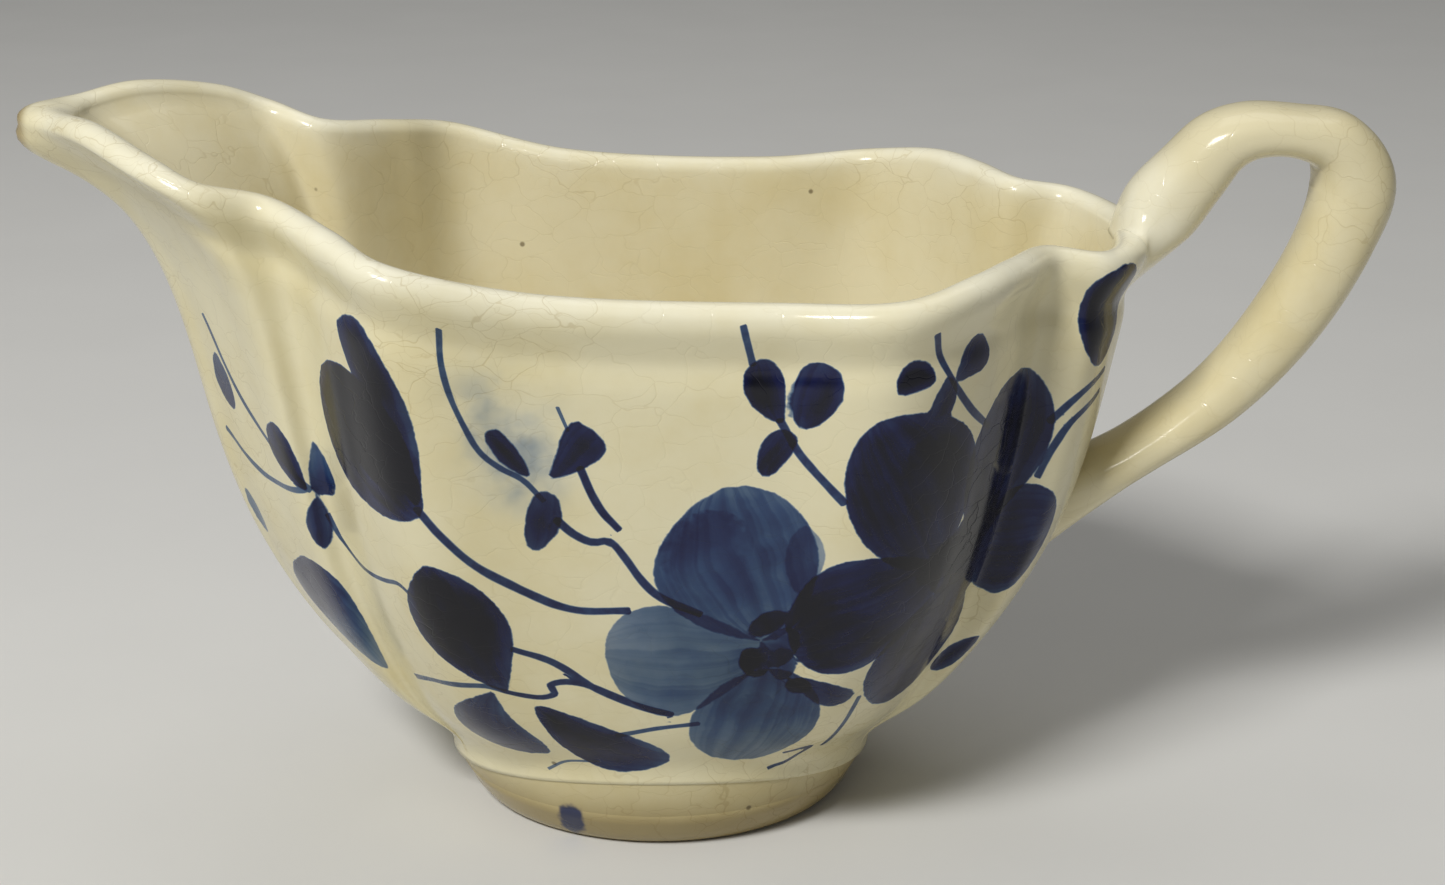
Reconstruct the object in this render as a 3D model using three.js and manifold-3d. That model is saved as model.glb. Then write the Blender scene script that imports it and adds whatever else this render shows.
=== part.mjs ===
// A cream jug in glazed earthenware: a lobed, footed bowl with its spout cast in one,
// a foot ring and a loop handle, each luted on with a thin bed of slip.
// Millimetres, +Z up, spout towards -X and handle towards +X. The pieces are first laid out
// round the middle of the foot, and the whole jug is then moved so that its box is centred
// on x = y = 0, with the foot standing on z = 0.
import * as THREE from 'three';
import { mergeVertices } from 'three/addons/utils/BufferGeometryUtils.js';
import Module from 'manifold-3d';

const wasm = await Module();
wasm.setup();

// --- Driving dimensions -------------------------------------------------------------------
// Plan of the rim, from the middle of the foot: three lobes with a notch between them.
const spoutReach = 75.4;        // to the outer edge of the pouring tip
const spoutWidestAt = 50;
const spoutHalfWidth = 23.8;
const spoutNotchAt = 43.5;
const spoutNotchHalfWidth = 21.6;
const bodyCornerBehindSpout = 29;
const bodyCornerBeforeHandle = 28;
const bodyHalfWidth = 36.6;     // at the four corners of the body
const sideWaist = 1.0;          // how far the sides draw in between the corners
const endNotchAt = 46;
const endNotchHalfWidth = 17.4;
const endReach = 58.4;          // to the rim at the handle

// Heights
const rimHeight = 73.6;         // rim crest along the sides
const spoutRise = 14.4;         // the crest climbs this much behind the pouring tip
const tipDrop = 1;              // and falls again over the last few millimetres
const endRise = 1.6;            // small rise over the notches at the handle's end
const undersideHeight = 6;      // ceiling of the recess inside the foot ring
const creaseAtEnds = 5.5;       // where the bowl meets the foot, below the spout and handle
const creaseAtSides = 10;       // and below the two sides

// Walls
const wallThickness = 3.6;
const lipThickness = 6;         // at the pouring tip
const lipHalfWidth = 4.2;
const floorThickness = 4.5;

// Foot ring, an oval
const footHalfLength = 23.6;    // of its standing edge
const footHalfWidth = 20.6;
const footFlare = 3.2;          // the ring widens this much up to the crease
const footRingThickness = 4.6;
const footOverlap = 8;          // the blank is turned this much taller, then trimmed to the bowl
const footEdgeRadius = 1.2;

// Handle
const handleReach = 88.2;       // to the outside of the loop
const handleLift = 2;           // its root stands this much over the rim along the sides
const handleWidth = 11;
const handleThickness = 10;     // of the outer sweep, seen from the side

// Slip beds, and the gap that every pair of neighbours keeps
const slipThickness = 0.8;
const slipSpread = 0.9;         // the bed stands out this far round each handle root
const gap = 0.3;

// --- Sampling -----------------------------------------------------------------------------
const roundRim = 88;
const roundFoot = 64;
const outsideRows = 11;
const insideRows = 8;
const crowding = 0.045;         // how far the rows are drawn together at both ends of the wall
const lowCrowding = 0.1;        // and how much more so at the foot

// --- Helpers ------------------------------------------------------------------------------
const smooth = (from, to, value) => THREE.MathUtils.smoothstep(value, from, to);

function toSolid(geometry) {
  const bare = geometry.clone();
  bare.deleteAttribute('normal');
  bare.deleteAttribute('uv');
  const merged = mergeVertices(bare, 1e-4);
  const corners = merged.index.array;
  const triangles = [];
  for (let k = 0; k < corners.length; k += 3) {
    const [a, b, c] = corners.slice(k, k + 3);
    if (a !== b && b !== c && c !== a) triangles.push(a, b, c);
  }
  return new wasm.Manifold(new wasm.Mesh({
    numProp: 3,
    vertProperties: new Float32Array(merged.attributes.position.array),
    triVerts: new Uint32Array(triangles),
  }));
}

function toGeometry(solid) {
  const mesh = solid.getMesh();
  const geometry = new THREE.BufferGeometry();
  geometry.setAttribute('position', new THREE.BufferAttribute(mesh.vertProperties, 3));
  geometry.setIndex(new THREE.BufferAttribute(mesh.triVerts, 1));
  geometry.computeVertexNormals();
  return geometry;
}

// A lathed net of rows, whose vertices are then moved to rows[j](turn), turn being 0 to 1.
// The first and the last row are single points on the axis, or the rows close on themselves.
function lathedNet(rows, segments, closed = false) {
  const profile = rows.map((row, j) => new THREE.Vector2(1 + j, j));
  if (closed) profile.push(profile[0]);
  const geometry = new THREE.LatheGeometry(profile, segments);
  const position = geometry.attributes.position;
  for (let k = 0; k < position.count; k += 1) {
    const turn = ((segments - Math.floor(k / profile.length)) % segments) / segments;
    const row = (k % profile.length) % rows.length;
    position.setXYZ(k, ...rows[row](turn));
  }
  return geometry;
}

// Moves every point of a closed net outwards along its normal.
function grown(geometry, distance) {
  const bare = geometry.clone();
  bare.deleteAttribute('normal');
  bare.deleteAttribute('uv');
  const merged = mergeVertices(bare, 1e-4);
  merged.computeVertexNormals();
  const position = merged.attributes.position;
  const normal = merged.attributes.normal;
  for (let k = 0; k < position.count; k += 1) {
    position.setXYZ(
      k,
      position.getX(k) + distance * normal.getX(k),
      position.getY(k) + distance * normal.getY(k),
      position.getZ(k) + distance * normal.getZ(k),
    );
  }
  return merged;
}

// --- Rim line -----------------------------------------------------------------------------
// Half of the rim's outer edge, tip to handle: x, y and the crest's height over the sides.
const spoutLength = spoutReach - spoutWidestAt;
const handleEndLength = endReach - endNotchAt;
const spoutCornerAt = (spoutNotchAt + bodyCornerBehindSpout) / 2;
const halfRim = [
  [-spoutReach, 0, spoutRise - tipDrop],
  [-spoutReach + 3.6, lipHalfWidth, spoutRise - 0.6],
  [-spoutWidestAt - 0.6 * spoutLength, 0.54 * spoutHalfWidth, spoutRise],
  [-spoutWidestAt - 0.24 * spoutLength, 0.91 * spoutHalfWidth, 0.84 * spoutRise],
  [-spoutWidestAt, spoutHalfWidth, 0.69 * spoutRise],
  [-spoutNotchAt, spoutNotchHalfWidth, 0.55 * spoutRise],
  [-spoutCornerAt, (spoutNotchHalfWidth + bodyHalfWidth) / 2, 0.42 * spoutRise],
  [-bodyCornerBehindSpout, bodyHalfWidth - 0.4, 0.29 * spoutRise],
  [-0.45 * bodyCornerBehindSpout, bodyHalfWidth - sideWaist, 0.05 * spoutRise],
  [0.5 * bodyCornerBeforeHandle, bodyHalfWidth - sideWaist, -0.4],
  [bodyCornerBeforeHandle, bodyHalfWidth + 0.6, 0.3],
  [(bodyCornerBeforeHandle + endNotchAt) / 2, (endNotchHalfWidth + 2 * bodyHalfWidth) / 3 + 1, endRise],
  [endNotchAt - 4, endNotchHalfWidth + 6.5, endRise],
  [endNotchAt, endNotchHalfWidth, 0.7 * endRise],
  [endNotchAt + 0.5 * handleEndLength, 0.97 * endNotchHalfWidth, 0.2],
  [endReach - 1.5, 0.55 * endNotchHalfWidth, -0.2],
  [endReach, 0, 0],
];

function closedRim(half) {
  const flank = half.map(([x, y, rise]) => new THREE.Vector3(x, y, rimHeight + rise));
  const mirrored = flank.slice(1, -1).reverse().map(({ x, y, z }) => new THREE.Vector3(x, -y, z));
  return new THREE.CatmullRomCurve3([...flank, ...mirrored], true, 'centripetal');
}

// The inner edge follows the outer one at the wall's thickness; only the tip is thicker.
const outerRim = closedRim(halfRim);
const pointCount = 2 * halfRim.length - 2;
const innerRim = closedRim(halfRim.map(([x, y, rise], k) => {
  if (k === 0) return [x + lipThickness, 0, rise];
  if (k === halfRim.length - 1) return [x - wallThickness, 0, rise];
  const along = outerRim.getTangent(k / pointCount).setZ(0).normalize();
  return [x + along.y * wallThickness, y - along.x * wallThickness, rise];
}));

// Even steps round the rim, starting at the handle so that the seam is hidden there.
const turnToRim = (turn) => outerRim.getUtoTmapping((turn + 0.5) % 1);

// --- The bowl's skin ----------------------------------------------------------------------
// Share of the way out from foot to rim, at a share of the way up.
const bellyPower = 2.65;
const rimFlare = 0.11;
const spoutBelly = 0.62;
const footFillet = (up) => 1 - 0.35 * Math.exp(-up / 0.05);
const bodySwell = (up) => (1 - rimFlare) * (1 - (1 - up) ** bellyPower) + rimFlare * up ** 6;
const spoutSwell = (up) => spoutBelly * (1 - (1 - up) ** 3.6) + (1 - spoutBelly) * up ** 6.5;

function skinPoint(turn, up, inside) {
  const t = turnToRim(turn);
  const outer = outerRim.getPoint(t);
  const rim = inside ? innerRim.getPoint(t) : outer;
  const angle = Math.atan2(outer.y, outer.x);
  const inset = inside ? wallThickness / 2 : 0;
  const footX = (footHalfLength + footFlare - inset) * Math.cos(angle);
  const footY = (footHalfWidth + footFlare - inset) * Math.sin(angle);
  const spoutness = smooth(spoutNotchAt - 10, spoutWidestAt + 12, -outer.x);
  const out = footFillet(up) * THREE.MathUtils.lerp(bodySwell(up), spoutSwell(up), spoutness);
  const crease = THREE.MathUtils.lerp(creaseAtSides, creaseAtEnds, Math.cos(angle) ** 2);
  const low = inside ? undersideHeight + floorThickness + 1.5 : crease;
  const high = outer.z - wallThickness / 2;
  return [
    footX + (rim.x - footX) * out,
    footY + (rim.y - footY) * out,
    low + (high - low) * up,
  ];
}

function rimPoint(turn, roll) {
  const [xOut, yOut, z] = skinPoint(turn, 1, false);
  const [xIn, yIn] = skinPoint(turn, 1, true);
  const across = (1 - Math.cos(roll * Math.PI)) / 2;
  return [
    xOut + (xIn - xOut) * across,
    yOut + (yIn - yOut) * across,
    z + Math.sin(roll * Math.PI) * wallThickness / 2,
  ];
}

const shrunk = (row, share, height) => (turn) => {
  const [x, y] = row(turn);
  return [x * share, y * share, height];
};

// Rows lie closer together at the foot and below the rim, where the wall bends most.
const turned = (share) => 2 * Math.PI * share;
const evenUp = (share) => share
  + crowding * Math.sin(2 * turned(share))
  - lowCrowding * Math.sin(turned(share));
const evenly = (count, make) => Array.from({ length: count }, (_, k) => make(k));
const outsideNet = evenly(outsideRows, (k) => {
  const up = evenUp(k / (outsideRows - 1));
  return (turn) => skinPoint(turn, up, false);
});
const insideNet = evenly(insideRows, (k) => {
  const up = evenUp(1 - k / (insideRows - 1));
  return (turn) => skinPoint(turn, up, true);
});
const underside = [
  () => [0, 0, undersideHeight],
  shrunk(outsideNet[0], 0.7, undersideHeight),
];
const rimRoll = [0.25, 0.5, 0.75].map((roll) => (turn) => rimPoint(turn, roll));
const floorZ = undersideHeight + floorThickness;
const floor = [shrunk(insideNet[insideRows - 1], 0.7, floorZ), () => [0, 0, floorZ]];

const bowlNet = lathedNet([...underside, ...outsideNet, ...rimRoll, ...insideNet, ...floor], roundRim);
const bowl = toSolid(bowlNet);

// The same skin without its hollow, for trimming what is stuck on outside.
const lid = [
  (turn) => rimPoint(turn, 0.25),
  (turn) => rimPoint(turn, 0.5),
  () => [0, 0, rimHeight],
];
const envelopeNet = lathedNet([...underside, ...outsideNet, ...lid], roundRim);
const envelope = (distance) => toSolid(grown(envelopeNet, distance));
const clearOfBowl = envelope(gap);
const clearOfSlip = envelope(gap + slipThickness + gap);
const slipSkin = envelope(gap + slipThickness);

// --- Foot ring ----------------------------------------------------------------------------
// An oval ring that is turned first and then squeezed: each point of the section is an
// offset from the foot's outer edge and a height.
const footTop = creaseAtSides + footOverlap;
const footSection = [
  [-footRingThickness, 0],
  [-footEdgeRadius, 0],
  [-0.35 * footEdgeRadius, 0.35 * footEdgeRadius],
  [0.12 * footFlare, footEdgeRadius],
  [0.56 * footFlare, 0.65 * creaseAtEnds],
  [footFlare, creaseAtEnds],
  [footFlare, footTop],
  [-footRingThickness, footTop],
];
const footNet = lathedNet(footSection.map(([offset, z]) => (turn) => {
  const angle = -2 * Math.PI * turn;
  return [
    (footHalfLength + offset) * Math.cos(angle),
    (footHalfWidth + offset) * Math.sin(angle),
    z,
  ];
}), roundFoot, true);
const footBlank = toSolid(footNet);
const footRing = footBlank.subtract(clearOfSlip);
const footJoin = footBlank.intersect(slipSkin).subtract(clearOfBowl);

// --- Handle -------------------------------------------------------------------------------
// Centre line in the jug's middle plane: share of the handle's reach beyond the rim, height
// from the rim crest at the handle, and half thickness as a share of the outer sweep's.
const handleRoot = rimHeight + handleLift;
const handleSpan = handleReach - endReach - handleThickness / 2;
const handleLine = [
  [-0.06, -5.6, 0.8],
  [0.07, -1.0, 0.94],
  [0.22, 3.7, 0.86],
  [0.34, 7.2, 0.76],
  [0.49, 8.8, 0.65],
  [0.72, 8.7, 0.61],
  [0.9, 7.2, 0.78],
  [1.0, 2.7, 0.98],
  [0.94, -4.0, 0.91],
  [0.74, -14.1, 0.84],
  [0.44, -23.7, 0.7],
  [0.04, -31.3, 0.58],
  [-0.24, -35.4, 0.68],
  [-0.42, -38.1, 0.8],
];
const handlePath = new THREE.CatmullRomCurve3(
  handleLine.map(([share, z]) => new THREE.Vector3(endReach + share * handleSpan, 0, handleRoot + z)),
  false,
  'centripetal',
);

function halfThicknessAt(t) {
  const place = t * (handleLine.length - 1);
  const k = Math.min(Math.floor(place), handleLine.length - 2);
  const share = THREE.MathUtils.lerp(handleLine[k][2], handleLine[k + 1][2], place - k);
  return share * handleThickness / 2;
}

// A closed cylinder bent along the centre line from one share of it to another.
const handleSides = 16;
function bentBar(from, to, steps, extra) {
  const geometry = new THREE.CylinderGeometry(1, 1, 1, handleSides, steps);
  const position = geometry.attributes.position;
  for (let k = 0; k < position.count; k += 1) {
    const t = from + (to - from) * (0.5 - position.getY(k));
    const middle = handlePath.getPoint(t);
    const along = handlePath.getTangent(t);
    const thick = (halfThicknessAt(t) + extra) * position.getX(k);
    const wide = -(handleWidth / 2 + extra) * position.getZ(k);
    position.setXYZ(k, middle.x - along.z * thick, wide, middle.z + along.x * thick);
  }
  return toSolid(geometry);
}
const handle = bentBar(0, 1, 44, 0).subtract(clearOfSlip);
const slipBed = (from, to) => bentBar(from, to, 8, slipSpread).intersect(slipSkin).subtract(clearOfBowl);
const upperJoin = slipBed(0, 0.12);
const lowerJoin = slipBed(0.84, 1);

// --- The jug ------------------------------------------------------------------------------
const ivory = 0xd8cfae;
const glaze = (color) => new THREE.MeshStandardMaterial({ color, roughness: 0.16, metalness: 0 });
const pieces = {
  bowl: [bowl, ivory],
  foot_ring: [footRing, 0xc4bb94],
  foot_join: [footJoin, 0xc9c09a],
  handle: [handle, ivory],
  upper_handle_join: [upperJoin, 0xd4caa6],
  lower_handle_join: [lowerJoin, 0xd4caa6],
};

const jug = new THREE.Group();
for (const [name, [solid, color]] of Object.entries(pieces)) {
  const mesh = new THREE.Mesh(toGeometry(solid), glaze(color));
  mesh.name = name;
  jug.add(mesh);
}
const centre = new THREE.Box3().setFromObject(jug).getCenter(new THREE.Vector3());
jug.position.set(-centre.x, -centre.y, 0);
jug.updateMatrixWorld(true);

export default jug;
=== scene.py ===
import math

import bmesh
import bpy
import numpy as np
from mathutils import Matrix, Vector


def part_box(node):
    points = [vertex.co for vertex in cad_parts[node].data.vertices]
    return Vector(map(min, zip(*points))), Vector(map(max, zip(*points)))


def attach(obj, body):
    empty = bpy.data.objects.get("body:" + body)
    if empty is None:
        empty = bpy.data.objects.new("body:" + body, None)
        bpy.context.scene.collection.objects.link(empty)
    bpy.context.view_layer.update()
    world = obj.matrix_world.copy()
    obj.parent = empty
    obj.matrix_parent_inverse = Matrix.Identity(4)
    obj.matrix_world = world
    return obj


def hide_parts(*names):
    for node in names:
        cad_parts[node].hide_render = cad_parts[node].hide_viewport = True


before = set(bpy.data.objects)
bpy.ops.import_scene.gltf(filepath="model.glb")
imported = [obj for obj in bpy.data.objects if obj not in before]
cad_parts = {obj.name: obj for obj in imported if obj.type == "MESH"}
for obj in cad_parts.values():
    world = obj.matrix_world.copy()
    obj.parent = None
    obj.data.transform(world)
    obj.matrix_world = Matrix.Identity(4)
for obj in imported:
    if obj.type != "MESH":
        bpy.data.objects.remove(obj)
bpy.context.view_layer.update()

# The camera. The jug stands on a pale table top and is seen from its near side, from a
# little above, as a small object on a table is. Lengths in metres.
aim = Vector((0.0016, 0.0, 0.045))
camera_distance = 0.300
camera_height_angle = math.radians(20)
camera = bpy.data.objects.new("camera", bpy.data.cameras.new("camera"))
camera.data.sensor_width = 36
camera.data.lens = 60.2
camera.data.clip_start = 0.01
camera.location = aim + camera_distance * Vector(
    (0, -math.cos(camera_height_angle), math.sin(camera_height_angle)))
camera.rotation_euler = (math.pi / 2 - camera_height_angle, 0, 0)
bpy.context.scene.collection.objects.link(camera)
bpy.context.scene.camera = camera
bpy.context.scene.view_settings.view_transform = "Standard"

# The bowl: one thin shell cast in a plaster mould, with its lobed wall, rolled rim and
# pouring spout in one. Its sizes are in millimetres from the middle of the foot, and the
# near side of the rim line is given from the spout's tip round to the handle.
MM = 1000
foot_low, foot_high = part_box("foot_ring")
foot_middle = Vector(((foot_low.x + foot_high.x) / 2, 0, 0)) * MM
wall = 3.6
side_height = 73.6
spout_rise = 14.4
body_half = 36.6
inner_inset = 1.8
rim_flare, spout_flare = 0.11, 0.38  # the shares of each side's swell that come late
spout_from, spout_full = 33.5, 62
near_rim = [  # x, half width, and how much the crest rises over the sides
    (-74.9, 0.0, 14.2), (-73.6, 3.1, 14.1), (-70.4, 6.4, 14.1), (-65.2, 12.9, spout_rise),
    (-56.1, 21.7, 12.1), (-50.0, 23.8, 9.9), (-43.5, 21.6, 7.9), (-36.2, 29.1, 6.0),
    (-29.0, body_half - 0.4, 4.2), (-13.0, body_half - 1, 0.7), (14.0, body_half - 1, -0.4),
    (28.0, body_half + 0.6, 0.3), (37.0, 31.2, 1.6), (42.0, 23.9, 1.6), (46.0, 17.4, 1.1),
    (52.2, 16.9, 0.2), (56.9, 9.6, -0.2), (58.4, 0.0, 0.0),
]
crease_half_length = 26.8
crease_half_width = 23.8
crease_at_ends = 5.5
crease_at_sides = 10
underside_height = 6
floor_height = 10.5


def smooth(low, high, value):
    share = np.clip((value - low) / (high - low), 0, 1)
    return share * share * (3 - 2 * share)


def through(points, share, closed=False):
    """Points at shares 0 to 1 of a centripetal curve through the given points."""
    points = np.array(points, float)
    count = len(points)
    if closed:
        place = np.asarray(share, float) % 1 * count
        first = np.floor(place).astype(int)
        knots = [points[(first + step) % count] for step in (-1, 0, 1, 2)]
    else:
        ends = [2 * points[0] - points[1], *points, 2 * points[-1] - points[-2]]
        place = np.clip(np.asarray(share, float), 0, 1) * (count - 1)
        first = np.minimum(np.floor(place).astype(int), count - 2)
        knots = [np.array(ends)[first + step] for step in (0, 1, 2, 3)]
    w = (place - first)[:, None]
    spans = list(zip(knots, knots[1:]))
    gaps = [np.sqrt(np.linalg.norm(b[:, :3] - a[:, :3], axis=1))[:, None] for a, b in spans]
    steps = [b - a for a, b in spans]

    def slope(k):
        """The curve's slope at knot k, over the length of the middle gap."""
        over_both = (knots[k + 1] - knots[k - 1]) / (gaps[k - 1] + gaps[k])
        return gaps[1] * (steps[k - 1] / gaps[k - 1] - over_both + steps[k] / gaps[k])

    leave, arrive = slope(1), slope(2)
    return (knots[1] + leave * w + (3 * steps[1] - 2 * leave - arrive) * w**2
            + (leave + arrive - 2 * steps[1]) * w**3)


near_half = [(x, -half, side_height + rise) for x, half, rise in near_rim]
far_half = [(x, half, side_height + rise) for x, half, rise in near_rim[-2:0:-1]]
outer_line = np.array(near_half + far_half)
nudge = 1e-4
knot_shares = np.arange(len(outer_line)) / len(outer_line)
ahead = through(outer_line, knot_shares + nudge, True) - through(outer_line, knot_shares - nudge, True)
inward = np.stack([-ahead[:, 1], ahead[:, 0], 0 * ahead[:, 0]], 1)
inward /= np.linalg.norm(inward, axis=1, keepdims=True)
inner_line = outer_line + inward * wall
for knot, lip in ((0, (6.6, 0, 0)), (1, (5.4, 1.7, 0)), (-1, (5.4, -1.7, 0))):
    # The lip is thicker at the pouring tip.
    inner_line[knot] = outer_line[knot] + lip
fine_shares = np.linspace(0, 1, 8001)
fine_rim = through(outer_line, fine_shares, True)
rim_run = np.concatenate([[0], np.cumsum(np.linalg.norm(np.diff(fine_rim, axis=0), axis=1))])
rim_length = rim_run[-1]


def skin(around, up, inside=False):
    """Points of the wall: around is mm along the rim from the spout's tip, near side first,
    and up is the share of the way from the foot to the rim."""
    around = np.asarray(around, float)
    share = np.interp(around % rim_length, rim_run, fine_shares)
    outer = through(outer_line, share, True)
    rim = through(inner_line, share, True) if inside else outer
    angle = np.arctan2(outer[:, 1], outer[:, 0])
    inset = inner_inset if inside else 0
    foot_x = (crease_half_length - inset) * np.cos(angle)
    foot_y = (crease_half_width - inset) * np.sin(angle)
    # Each side is mostly belly, swelling early, and a share of it flares out late under the rim.
    body_swell = (1 - rim_flare) * (1 - (1 - up) ** 2.65) + rim_flare * up**6
    spout_swell = (1 - spout_flare) * (1 - (1 - up) ** 3.6) + spout_flare * up**6.5
    spoutness = smooth(spout_from, spout_full, -outer[:, 0])
    fillet = 1 - 0.95 * np.exp(-((up / 0.07) ** 2))
    out = fillet * (body_swell * (1 - spoutness) + spout_swell * spoutness)
    crease = crease_at_sides + (crease_at_ends - crease_at_sides) * np.cos(angle) ** 2
    low = floor_height + 1.5 if inside else crease
    high = outer[:, 2] - wall / 2
    points = np.stack([foot_x + (rim[:, 0] - foot_x) * out, foot_y + (rim[:, 1] - foot_y) * out,
                       low + (high - low) * up], 1)
    if not inside:
        # The wall draws in a little under the rolled rim, and is never quite even. Under the
        # spout's tip the roll hangs down and runs back as a thick, blunt beak.
        depth = (1 - up) * (high - low)
        bead = 0.5 * np.exp(-((depth - 0.7) / 1.8) ** 2) - 0.6 * np.exp(-((depth - 5.4) / 2.0) ** 2)
        uneven = 0.10 * np.sin(around / 9 + 5 * up) * np.sin(7 * up + around / 23)
        push = (bead - uneven * np.sin(math.pi * np.clip(up, 0, 1)))[:, None]
        along = through(outer_line, share + nudge, True) - through(outer_line, share - nudge, True)
        side = np.stack([along[:, 1], -along[:, 0], 0 * along[:, 0]], 1)
        points += side / np.linalg.norm(side, axis=1, keepdims=True) * push
        from_tip = (around + rim_length / 2) % rim_length - rim_length / 2
        near_tip = np.exp(-((from_tip / 6.5) ** 2))
        points[:, 0] -= 3.7 * near_tip * smooth(-0.4, 1.8, depth) * np.exp(-((depth - 3.4) / 3.6) ** 2)
        points[:, 2] -= 0.8 * near_tip * smooth(0, 3, depth) * (1 - smooth(5, 16, depth))
    return points


columns = 440
outside_steps, roll_steps, inside_steps, under_steps, floor_steps = 128, 14, 52, 14, 12
column_around = (np.arange(columns) + 0.5) * rim_length / columns
rows = []
row_up = []
crease_ring = skin(column_around, np.zeros(columns))
for step in range(under_steps):
    share = step / under_steps
    ring = crease_ring * share
    ring[:, 2] = underside_height + (crease_ring[:, 2] - underside_height) * smooth(0.72, 1, share)
    rows.append(ring)
    row_up.append(-1 + share)
for step in range(outside_steps):
    up = step / (outside_steps - 1)
    rows.append(skin(column_around, np.full(columns, up)))
    row_up.append(up)
outer_edge, inner_edge = rows[-1], skin(column_around, np.ones(columns), True)
for step in range(1, roll_steps):
    roll = math.pi * step / roll_steps
    ring = outer_edge + (inner_edge - outer_edge) * (1 - math.cos(roll)) / 2
    ring[:, 2] = outer_edge[:, 2] + wall / 2 * math.sin(roll)
    rows.append(ring)
    row_up.append(1 + step / roll_steps)
for step in range(inside_steps):
    up = 1 - step / (inside_steps - 1)
    rows.append(skin(column_around, np.full(columns, up), True))
    row_up.append(3 - up)
floor_ring = rows[-1]
for step in range(1, floor_steps + 1):
    share = 1 - step / floor_steps
    ring = floor_ring * share
    ring[:, 2] = floor_height + (floor_ring[:, 2] - floor_height) * share**3
    rows.append(ring)
    row_up.append(3 + step / floor_steps)
rows = np.array(rows)
row_up = np.array(row_up)
hollow_from = under_steps + outside_steps + roll_steps + 4
for _ in range(12):
    # The inside is wiped smooth from wall to floor with a sponge.
    rows[hollow_from:-1] = (rows[hollow_from - 1:-2] + 2 * rows[hollow_from:-1] + rows[hollow_from + 1:]) / 4
evened = rows[hollow_from:].copy()
for _ in range(40):
    evened = (np.roll(evened, 1, 1) + 2 * evened + np.roll(evened, -1, 1)) / 4
rows[hollow_from:] += (evened - rows[hollow_from:]) * smooth(0, 12, np.arange(len(evened)))[:, None, None]


def pulled_ball(name, rings):
    """A closed skin: a ball whose rows are pulled to the given rings, ends included."""
    rings = np.asarray(rings)
    count, across = rings.shape[0] - 1, rings.shape[1]
    bm = bmesh.new()
    bmesh.ops.create_uvsphere(bm, u_segments=across, v_segments=count, radius=1)
    mesh = bpy.data.meshes.new(name)
    bm.to_mesh(mesh)
    bm.free()
    ball = np.zeros(len(mesh.vertices) * 3)
    mesh.vertices.foreach_get("co", ball)
    ball = ball.reshape(-1, 3)
    row = np.rint(np.arccos(np.clip(-ball[:, 2], -1, 1)) / math.pi * count).astype(int)
    turn = np.arctan2(ball[:, 1], ball[:, 0]) / (2 * math.pi)
    column = np.rint(turn * across).astype(int) % across
    mesh.vertices.foreach_set("co", rings[row, column].ravel())
    return mesh, row, column


def finished(mesh, body="root"):
    """Turns a mesh in millimetres round the foot into a smooth, outward-facing piece."""
    mesh.transform(Matrix.Translation(foot_middle))
    mesh.transform(Matrix.Scale(1 / MM, 4))
    bm = bmesh.new()
    bm.from_mesh(mesh)
    bmesh.ops.recalc_face_normals(bm, faces=bm.faces)
    for face in bm.faces:
        face.smooth = True
    bm.to_mesh(mesh)
    bm.free()
    piece = bpy.data.objects.new(mesh.name, mesh)
    bpy.context.scene.collection.objects.link(piece)
    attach(piece, body)
    return piece


def mark(mesh, name, values):
    """Stores one vector per vertex under a name that the material reads."""
    layer = mesh.attributes.new(name, "FLOAT_VECTOR", "POINT")
    layer.data.foreach_set("vector", np.asarray(values, np.float32).ravel())


bowl_mesh, bowl_row, bowl_column = pulled_ball("bowl_body", rows)


# The painting: a spray of two flowers, leaves and buds put on in cobalt with a loaded brush
# before the glaze. Each stroke is given by points (mm along the rim from the spout's tip,
# mm above the table). Strokes that lap over each other go on in different layers.
bowl_points = np.zeros(len(bowl_mesh.vertices) * 3)
bowl_mesh.vertices.foreach_get("co", bowl_points)
bowl_points = bowl_points.reshape(-1, 3)
bowl_normals = np.array([vertex.normal[:] for vertex in bowl_mesh.vertices])
if (bowl_normals * bowl_points)[:, 0].sum() < 0:
    bowl_normals = -bowl_normals
row_of = row_up[bowl_row]
painted_side = (row_of >= 0) & (row_of <= 1.3)
petal_layers = {layer: np.tile([9.0, 0, 0], (len(bowl_points), 1)) for layer in "abc"}
stem_layer = np.tile([9.0, 9, 0], (len(bowl_points), 1))
around_of = (column_around[bowl_column] + rim_length / 2) % rim_length - rim_length / 2
height_of = bowl_points[:, 2]
painter = np.random.default_rng(7)


def on_wall(spots):
    """The places on the outside of the bowl of (around, height) spots, found through the wall's up shares.
    """
    spots = np.array(spots, float)
    low = skin(spots[:, 0], np.zeros(len(spots)))[:, 2]
    high = skin(spots[:, 0], np.ones(len(spots)))[:, 2]
    return skin(spots[:, 0], np.clip((spots[:, 1] - low) / (high - low), 0, 1))


def both_sides(spots, shift):
    """The far side carries the same spray, turned about and never quite repeated."""
    spots = np.array(spots, float)
    yield spots
    yield spots * (-1, 1) + painter.normal(0, shift, 2)


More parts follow.
